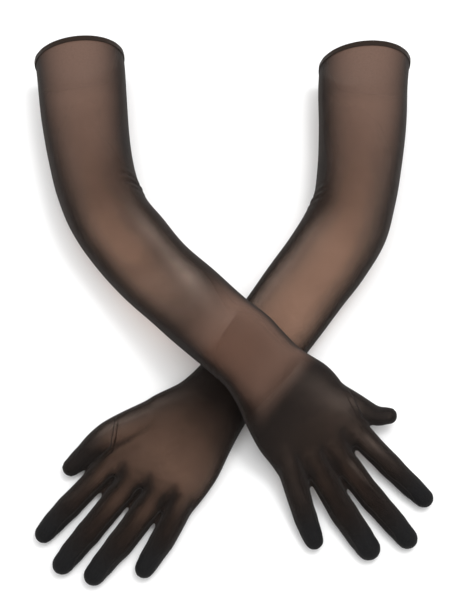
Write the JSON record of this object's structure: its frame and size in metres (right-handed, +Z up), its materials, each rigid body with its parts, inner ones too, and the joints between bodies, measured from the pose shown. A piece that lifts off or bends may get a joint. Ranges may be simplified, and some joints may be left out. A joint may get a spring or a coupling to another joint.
{
  "type": "opera gloves",
  "caption": "Opera-length gloves in sheer stretch mesh with a folded elastic hem, filled out as when worn and lying crossed, palms down",
  "frame": {"origin": "middle of the pair's footprint, on the surface that the gloves lie on", "axes": "+Z up, +Y from the fingertips towards the sleeve openings, +X to the right when the sleeves point away"},
  "size_m": [0.33, 0.4528, 0.0862],
  "materials": {
    "sheer_mesh": "sheer black-brown stretch mesh, soft sheen",
    "fourchette_mesh": "the same mesh, two layers deep at the fingers",
    "hem_welt": "folded mesh, nearly opaque, matte",
    "elastic": "black covered elastic, matte",
    "seam_thread": "black overlocked stitching, matte"
  },
  "bodies": {
    "left_glove": {"left_back_panel": "sheer_mesh", "left_palm_panel": "sheer_mesh", "left_thumb": "sheer_mesh", "left_thumb_seam": "seam_thread", "left_outer_side_seam": "seam_thread", "left_inner_side_seam": "seam_thread", "left_index_side_seam": "seam_thread", "left_index_middle_fourchette": "fourchette_mesh", "left_middle_ring_fourchette": "fourchette_mesh", "left_ring_little_fourchette": "fourchette_mesh", "left_hem_band": "hem_welt", "left_hem_elastic": "elastic"},
    "right_glove": {"right_back_panel": "sheer_mesh", "right_palm_panel": "sheer_mesh", "right_thumb": "sheer_mesh", "right_thumb_seam": "seam_thread", "right_outer_side_seam": "seam_thread", "right_inner_side_seam": "seam_thread", "right_index_side_seam": "seam_thread", "right_index_middle_fourchette": "fourchette_mesh", "right_middle_ring_fourchette": "fourchette_mesh", "right_ring_little_fourchette": "fourchette_mesh", "right_hem_band": "hem_welt", "right_hem_elastic": "elastic"}
  },
  "joints": [
    {"name": "right_glove_lift", "type": "slide", "parent": "left_glove", "child": "right_glove", "axis": [0, 0, 1], "range_m": [0, 0.12]}
  ]
}
